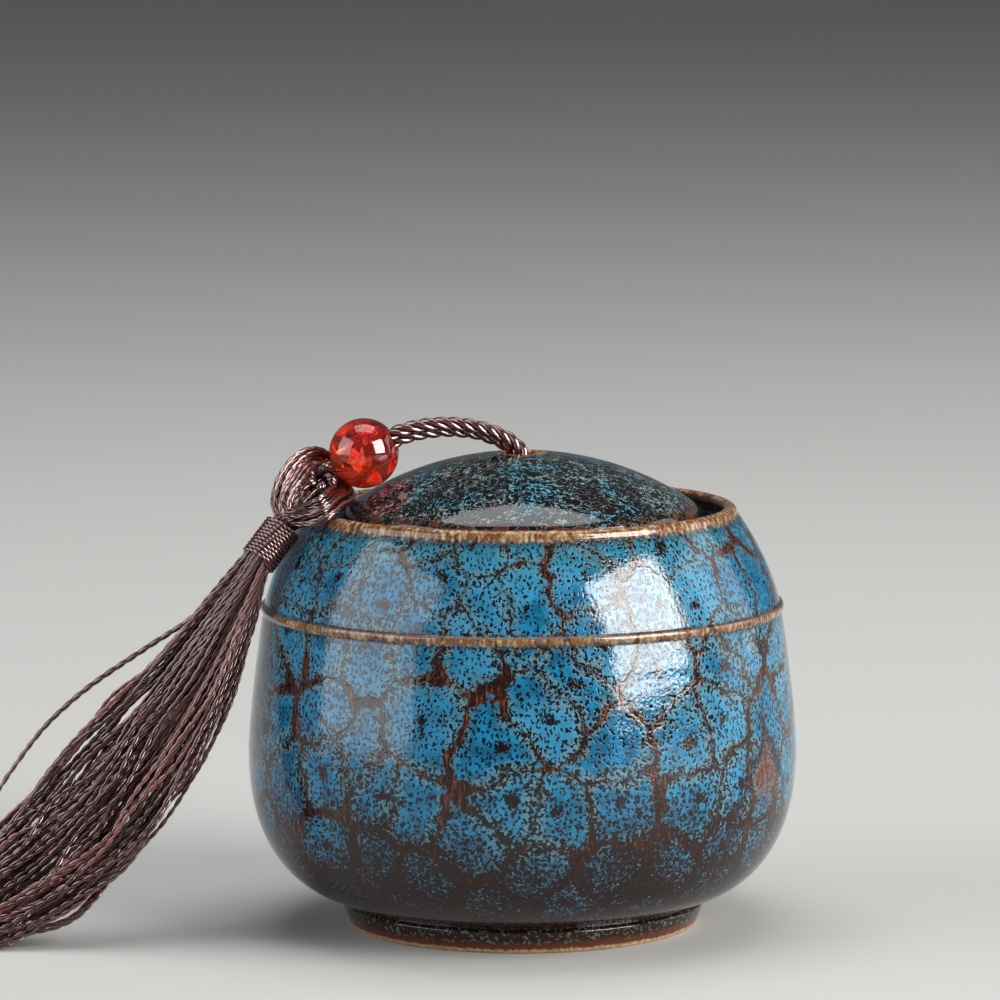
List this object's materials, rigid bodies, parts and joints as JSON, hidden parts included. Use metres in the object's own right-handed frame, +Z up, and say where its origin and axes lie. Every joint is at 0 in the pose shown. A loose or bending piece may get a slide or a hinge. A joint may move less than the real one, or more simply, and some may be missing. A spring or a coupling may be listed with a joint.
{
  "type": "funeral urn",
  "caption": "Small round glazed stoneware keepsake urn with a domed lid set inside its lip, a red glass ball on a silk cord and a long thread tassel.",
  "frame": {"origin": "centre of the foot ring's sole, on the surface that the urn stands on", "axes": "+Z up along the jar's axis, the tassel hangs to -X and a little to -Y, the side that faces the viewer"},
  "size_m": [0.185, 0.11, 0.1023],
  "materials": {
    "jar_glaze": "glossy blue kiln-change glaze with dark speckle and brown veins, tan where it breaks over the lip and the band",
    "lid_glaze": "glossy black-brown glaze with fine blue-green flecks, rust brown at the edge and the cord hole",
    "silk_cord": "silky brown-mauve twisted cord",
    "tassel_thread": "silky brown-mauve two-ply thread",
    "ball_glass": "polished translucent red-orange glass"
  },
  "bodies": {
    "root": {"body": "jar_glaze", "lid": "lid_glaze", "cord": "silk_cord", "stopper_knot": "silk_cord", "cord_knot": "silk_cord", "bead": "ball_glass", "tassel": "tassel_thread", "binding": "tassel_thread"}
  },
  "joints": []
}
